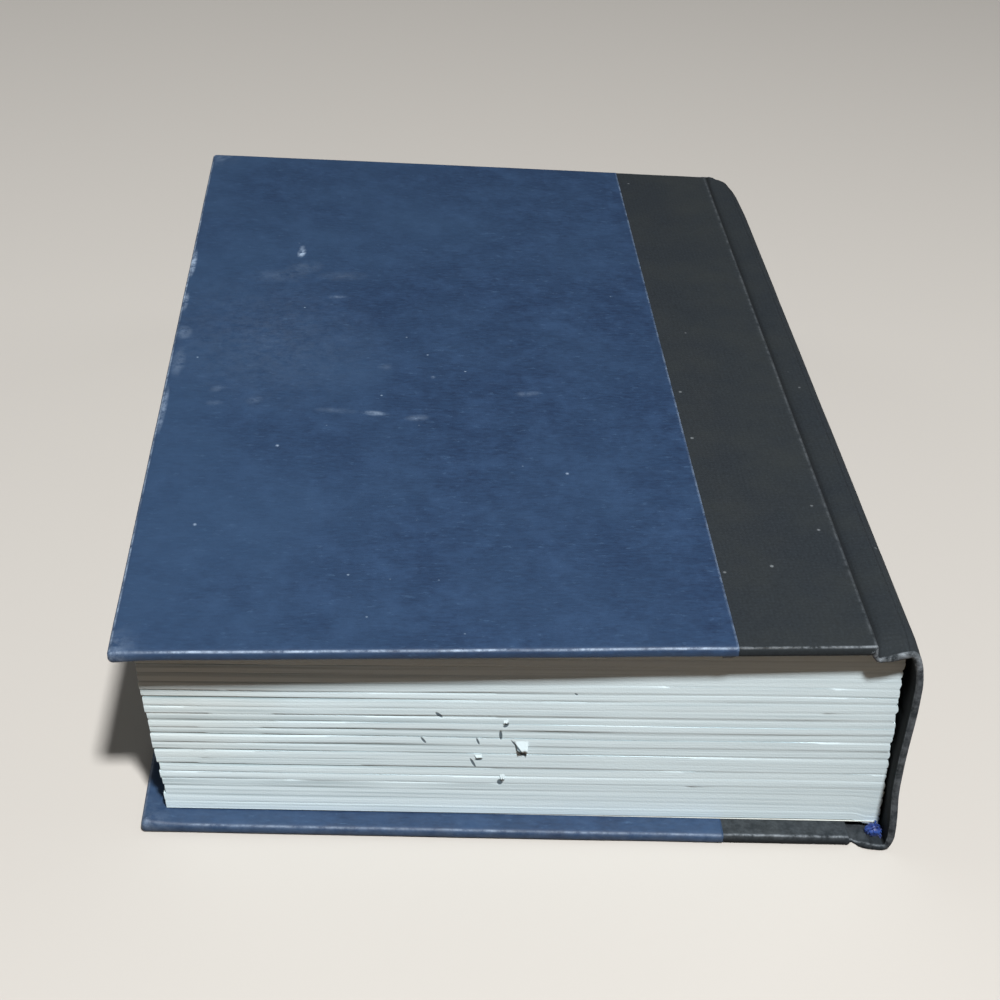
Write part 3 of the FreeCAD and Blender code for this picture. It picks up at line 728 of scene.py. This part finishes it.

# Covering paper, dyed navy: long fibres lie along the book's width, drawn as streaks about 4 mm by
# 1 mm, under a soft mottle. It scuffs to pale blue, most along the edges and the cut seam; the thin
# pale line on the rims is partly painted highlight.
side_paper, tree, shader = new_material("dyed_covering_paper", 0.6, Specular_IOR_Level=0.4)
place = node(tree, "TexCoord").outputs["Object"]
stretched = node(tree, "Mapping", {"Vector": place, "Scale": (420, 1300, 500)})
fibres = node(tree, "TexNoise", {"Vector": stretched.outputs[0], "Scale": 1.0, "Detail": 4.0,
                                 "Roughness": 0.65})
mottle = node(tree, "TexNoise", {"Vector": place, "Scale": 120.0, "Detail": 5.0,
                                 "Roughness": 0.7})
cloudy = node(tree, "TexNoise", {"Vector": place, "Scale": 22.0, "Detail": 4.0,
                                 "Roughness": 0.6})
fibre_share = node(tree, "MapRange", {"Value": fibres.outputs["Fac"], "From Min": 0.3,
                                      "From Max": 0.7})
colour = node(tree, "Mix", {0: fibre_share.outputs[0], 6: linear("#192B46"),
                            7: linear("#243C5B")}, data_type="RGBA")
mottle_share = node(tree, "MapRange", {"Value": mottle.outputs["Fac"], "From Min": 0.45,
                                       "From Max": 0.7, "To Max": 0.6})
colour = node(tree, "Mix", {0: mottle_share.outputs[0], 6: colour.outputs[2],
                            7: linear("#2D4769")}, data_type="RGBA")
flecks = node(tree, "Mapping", {"Vector": place, "Scale": (330, 900, 500)})
flecks = node(tree, "TexNoise", {"Vector": flecks.outputs[0], "Scale": 1.0, "Detail": 5.0,
                                 "Roughness": 0.7})
light_flecks = node(tree, "MapRange", {"Value": flecks.outputs["Fac"], "From Min": 0.6,
                                       "From Max": 0.78, "To Max": 0.7})
dark_flecks = node(tree, "MapRange", {"Value": flecks.outputs["Fac"], "From Min": 0.4,
                                      "From Max": 0.26, "To Max": 0.6})
colour = node(tree, "Mix", {0: light_flecks.outputs[0], 6: colour.outputs[2],
                            7: linear("#4B6787")}, data_type="RGBA")
colour = node(tree, "Mix", {0: dark_flecks.outputs[0], 6: colour.outputs[2],
                            7: linear("#182944")}, data_type="RGBA")
# Painted sheen: the paper is drawn paler towards the fore-edge, on top of the cloudy mottle.
fore_edge_sheen = node(tree, "SeparateXYZ", {0: place}).outputs["X"]
cloud_share = node(tree, "Math", {0: fore_edge_sheen, 1: -1.7, 2: cloudy.outputs["Fac"]},
                   operation="MULTIPLY_ADD")
cloud_share = node(tree, "MapRange", {"Value": cloud_share.outputs[0], "From Min": 0.38,
                                      "From Max": 0.75, "To Max": 0.6})
colour = node(tree, "Mix", {0: cloud_share.outputs[0], 6: colour.outputs[2],
                            7: linear("#2E4765")}, data_type="RGBA")
patchy = node(tree, "TexNoise", {"Vector": place, "Scale": 380.0, "Detail": 5.0,
                                 "Roughness": 0.75})
patch_share = node(tree, "MapRange", {"Value": patchy.outputs["Fac"], "From Min": 0.36,
                                      "From Max": 0.6})
worn = node(tree, "Math", {0: node(tree, "Attribute", attribute_name="rub_and_shade").outputs["Fac"],
                           1: patch_share.outputs[0]}, operation="MULTIPLY").outputs[0]
# Scuffs on the upper cover: (x, y, length, width, turn, strength), in millimetres and degrees.
for x, y, length, width, turn, strength in (
        (-53.9, 54.0, 1.3, 3.3, -8, 1.5), (-53.9, 57.4, 0.8, 1.6, -20, 0.6),
        (-52.6, 45.1, 6.0, 4.5, 25, 0.1), (-59.2, 39.7, 9.0, 4.5, 0, 0.08),
        (-42.2, 40.5, 8.0, 3.5, 5, 0.08), (-43.5, 28.3, 3.4, 1.0, 5, 0.25),
        (-18.2, -13.4, 0.7, 0.8, 0, 0.4), (-82.0, 7.0, 2.6, 4.0, 0, 0.25),
        (-81.8, -8.0, 2.0, 8.0, 0, 0.2), (-83.2, 45.8, 1.0, 9.0, 0, 1.0),
        (-83.1, -30.0, 1.0, 12.0, 0, 0.6), (-83.1, 24.0, 0.9, 6.0, 0, 0.6),
        (-71.0, -20.6, 3.0, 1.6, 30, 0.12), (-71.2, -27.3, 2.4, 1.6, 0, 0.1),
        (-61.6, -25.8, 2.6, 2.0, 40, 0.12), (-41.8, -30.1, 6.0, 1.5, -6, 0.12),
        (-32.4, -31.2, 3.8, 1.3, -8, 0.5), (-22.2, -33.0, 3.6, 1.8, 10, 0.2),
        (5.0, -21.0, 4.0, 1.5, 10, 0.2), (-29.9, -8.9, 2.5, 2.0, 0, 0.08),
        (-55.0, -46.0, 0.5, 0.6, 0, 0.8), (-71.0, -78.0, 0.5, 0.6, 0, 0.8),
        (12.0, -57.0, 0.5, 0.6, 0, 0.7), (-60.0, 5.0, 34.0, 40.0, 20, 0.045)):
    spot = node(tree, "Mapping", {
        "Vector": place, "Location": (x / 1000, y / 1000, 0.052),
        "Rotation": (0, 0, math.radians(turn)),
        "Scale": (length / 1000, width / 1000, 0.02)}, vector_type="TEXTURE")
    near = node(tree, "TexGradient", {"Vector": spot.outputs[0]}, gradient_type="SPHERICAL")
    mark = node(tree, "Math", {0: near.outputs["Fac"], 1: patch_share.outputs[0]},
                operation="MULTIPLY")
    worn = node(tree, "Math", {0: mark.outputs[0], 1: strength, 2: worn},
                operation="MULTIPLY_ADD").outputs[0]
colour = node(tree, "Mix", {0: worn, 6: colour.outputs[2], 7: linear("#A6BAD2")},
              data_type="RGBA", clamp_factor=True)
specks = node(tree, "TexVoronoi", {"Vector": place, "Scale": 110.0})
speck_share = node(tree, "MapRange", {"Value": specks.outputs["Distance"], "From Min": 0.015,
                                      "From Max": 0.04, "To Min": 0.6, "To Max": 0.0})
colour = node(tree, "Mix", {0: speck_share.outputs[0], 6: colour.outputs[2],
                            7: linear("#8FA3B8")}, data_type="RGBA")
rough = node(tree, "MapRange", {"Value": mottle.outputs["Fac"], "To Min": 0.5, "To Max": 0.68})
bump = node(tree, "Bump", {"Height": fibres.outputs["Fac"], "Strength": 0.35,
                           "Distance": 0.00015})
tree.links.new(rough.outputs[0], shader.inputs["Roughness"])
dress(tree, shader, colour, bump)

for side in ("front", "back"):
    bm = bmesh.new()
    bmesh.ops.create_cube(bm, size=1.0)
    for vert in bm.verts:
        vert.co = ((vert.co.x + 0.5) * seam, vert.co.y * 2 * half, (vert.co.z + 0.5) * board)
    upright = [e for e in bm.edges if all(v.co.x < 0.1 for v in e.verts)
               and abs(e.verts[0].co.z - e.verts[1].co.z) > 1]
    bmesh.ops.bevel(bm, geom=upright, offset=corner_radius, segments=5, profile=0.5,
                    affect="EDGES", material=-1)
    borders = [e for e in bm.edges if abs(e.verts[0].co.z - e.verts[1].co.z) < 0.01
               and not all(v.co.x > seam - 0.1 for v in e.verts)]
    bmesh.ops.bevel(bm, geom=borders, offset=edge_radius, segments=4, profile=0.5,
                    affect="EDGES", material=-1)
    bmesh.ops.delete(bm, geom=[f for f in bm.faces if all(v.co.x > seam - 0.1 for v in f.verts)],
                     context="FACES")
    # Divided closely near the edges, where it rounds and wears, and every 6 mm elsewhere.
    cuts_u = [0.85, 1.7, 3, 6, 10, turn_in] + [turn_in + 6 * i for i in range(1, 18)] \
        + [122, 124.2, 124.95]
    cuts_y = [e * d for e in (-1, 1) for d in (119.75, 118.9, 117.5, 115, 110, half - turn_in)] \
        + [6.6 * i for i in range(-15, 16)]
    for axis, places in ((0, cuts_u), (1, cuts_y)):
        for where in places:
            cut_across(bm, axis, where)
    # The turn-ins meet along a mitre at both corners, and the middle of the inner face is open.
    inner = [f for f in bm.faces if all(v.co.z < 0.01 for v in f.verts)]
    corner = [f for f in inner if f.calc_center_median().x < turn_in]
    for end in (-1, 1):
        near = [f for f in corner
                if f.is_valid and end * f.calc_center_median().y > half - turn_in]
        edges, verts = {e for f in near for e in f.edges}, {v for f in near for v in f.verts}
        bmesh.ops.bisect_plane(bm, geom=list(verts) + list(edges) + near,
                               plane_co=(0, end * half, 0), plane_no=(1, end, 0), dist=0.0001)
    middle = [f for f in bm.faces if all(v.co.z < 0.01 for v in f.verts)
              and f.calc_center_median().x > turn_in
              and abs(f.calc_center_median().y) < half - turn_in]
    bmesh.ops.delete(bm, geom=middle, context="FACES")
    rub_and_shade_layer = bm.verts.layers.float.new("rub_and_shade")
    for vert in bm.verts:
        u, y, h = vert.co
        border = min(u, half - abs(y))
        rub_and_shade = 0.7 + 1.1 * noise.noise(Vector((u * 0.09, y * 0.05, 2.0)))
        at_corner = math.exp(-(u * u + (half - abs(y)) ** 2) / 20)
        # A thin pale line on the rims, paler still near the corners: partly wear, partly painted
        # highlight along the rounded edges.
        ring = 1.0 if 0.1 < border < 0.3 and (h > 2.2 or h < 0.3) else 0.0
        ring = max(ring, 0.7 * at_corner if h < 1.0 else 0.5 * at_corner)
        if h > 2 and u > seam - 0.05:
            ring, rub_and_shade = 1.0, 0.35 + 0.5 * noise.noise(Vector((1.0, y * 0.08, 5.0)))
        vert[rub_and_shade_layer] = max(0.0, rub_and_shade) * ring
        # On the lower cover the rim line is weakened, and its edge face and inner margin are made a
        # little paler.
        if side == "front":
            paler = 0.02 if h < 0.3 else 0.07 if h < 2.2 else 0.0
            vert[rub_and_shade_layer] = 0.45 * vert[rub_and_shade_layer] + paler
        puff = 0.12 * (0.5 + 0.5 * noise.noise(Vector((u * 0.06, y * 0.06, h))))
        mitre = 0.22 if h < 0.3 and abs(u - (half - abs(y))) < 0.2 and 0.8 < u < 4 else 0.0
        proud = puff if h > mid else -0.4 * puff - mitre - 0.6 * at_corner * (1 - h / mid)
        lean = 0.1 * noise.noise(Vector((u * 0.05, y * 0.05, 9.0)))
        lean += 0.3 * (1 - (h / mid - 1) ** 2) * (1 - smooth_share(border, 0.0, 1.0))
        edge = Vector((-lean if u < 1 else 0, math.copysign(lean, y) if half - abs(y) < 1 else 0))
        vert.co = on_cover(side, u + edge.x, y + edge.y, h + proud)
    if side == "front":
        bmesh.ops.reverse_faces(bm, faces=bm.faces)
    else:
        settle(bm)
    bm.normal_update()
    paper = add_piece(side + "_side_paper_sheet", bm, side_paper, sharp=50)
    grow_wall(paper)
    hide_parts(side + "_side_paper")
    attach(paper, side + "_cover")

# Pastedowns: the glued halves of the endpapers. The turned-in covering and the gauze show through
# as low ridges, and each runs across its joint to the block.
paste_start, paste_half, paste_thick = 4.6, 115.5, 0.12
for side, paste_end, start, end in (("front", 160.6, (0.0775, 0, 0.0027), (0.0805, 0, 0.0027)),
                                    ("back", 161.6, (0.0751, 0, 0.0526), (0.0781, 0, 0.0526))):
    bm = bmesh.new()
    bmesh.ops.create_grid(bm, x_segments=110, y_segments=100, size=0.5)
    for vert in bm.verts:
        u = paste_start + (vert.co.x + 0.5) * (paste_end - paste_start)
        y = 2 * vert.co.y * paste_half
        sunk = smooth_share(u, 14.2, 16.2) * (1 - smooth_share(u, 126.5, 128.5)) \
            * smooth_share(paste_half - abs(y), 9.2, 11.2)
        h = -0.15 + 0.22 * sunk + 0.03 * noise.noise(Vector((u * 0.2, y * 0.2, 1)))
        vert.co = on_cover(side, u, y, min(h, 0.1))
    if side == "back":
        bmesh.ops.reverse_faces(bm, faces=bm.faces)
        settle(bm)
    bm.normal_update()
    paste = add_piece(side + "_pastedown_sheet", bm, endpaper)
    grow_wall(paste, paste_thick)
    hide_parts(side + "_pastedown")
    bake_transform(paste)

# Floor, lamps and camera: a plain pale floor, one lamp high in front that draws the shadow of the
# upper cover on the leaves, two broad soft fills from the sides, and an even surround.
floor_mesh = bpy.data.meshes.new("floor")
bm = bmesh.new()
bmesh.ops.create_grid(bm, x_segments=1, y_segments=1, size=4.0)
bm.to_mesh(floor_mesh)
bm.free()
floor = bpy.data.objects.new("floor", floor_mesh)
bpy.context.scene.collection.objects.link(floor)
floor_paint, tree, shader = new_material("pale_matt_floor", 0.9, Specular_IOR_Level=0.2)
rays = node(tree, "LightPath").outputs
seen = node(tree, "Math", {0: rays["Is Camera Ray"], 1: rays["Is Glossy Ray"]},
            operation="MAXIMUM")
seen = node(tree, "Math", {0: seen.outputs[0], 1: rays["Is Transmission Ray"]},
            operation="MAXIMUM")
colour = node(tree, "Mix", {0: seen.outputs[0], 6: linear("#5C4938"), 7: linear("#C2BEB8")},
              data_type="RGBA")
tree.links.new(colour.outputs[2], shader.inputs["Base Color"])
floor_mesh.materials.append(floor_paint)

world = bpy.data.worlds.new("studio")
world.use_nodes = True
world.node_tree.nodes["Background"].inputs["Color"].default_value = linear("#FFFFFF")
world.node_tree.nodes["Background"].inputs["Strength"].default_value = 0.07
bpy.context.scene.world = world

for name, azimuth, elevation, distance, size, energy in (
        ("key", 7, 60, 1.3, 0.1, 22.3), ("right_fill", 115, 22, 3.0, 1.8, 13.0),
        ("left_fill", -115, 22, 3.0, 1.8, 9.0)):
    azimuth, elevation = math.radians(azimuth), math.radians(elevation)
    lamp = bpy.data.lights.new(name, "AREA")
    lamp.size, lamp.energy = size, energy
    stand = bpy.data.objects.new(name, lamp)
    toward = Vector((math.sin(azimuth) * math.cos(elevation),
                     -math.cos(azimuth) * math.cos(elevation), math.sin(elevation)))
    stand.matrix_world = Matrix.Translation(toward * distance) \
        @ toward.to_track_quat("Z", "Y").to_matrix().to_4x4()
    bpy.context.scene.collection.objects.link(stand)

# The camera stands half a metre off, in front of the tail, and looks down by 34 degrees.
lens = bpy.data.cameras.new("camera")
lens.sensor_width, lens.lens, lens.clip_start = 36.0, 63.08, 0.01
camera = bpy.data.objects.new("camera", lens)
stands_at = (-0.035970, -0.392662, 0.273425)
right = (0.9960805, -0.0472450, 0.0747760)
up = (-0.0352440, 0.5633877, 0.8254406)
back = (-0.0811259, -0.8248407, 0.5595144)
turned = Matrix((right, up, back)).transposed().to_4x4()
camera.matrix_world = Matrix.Translation(stands_at) @ turned
bpy.context.scene.collection.objects.link(camera)
bpy.context.scene.camera = camera
bpy.context.scene.view_settings.view_transform = "Standard"
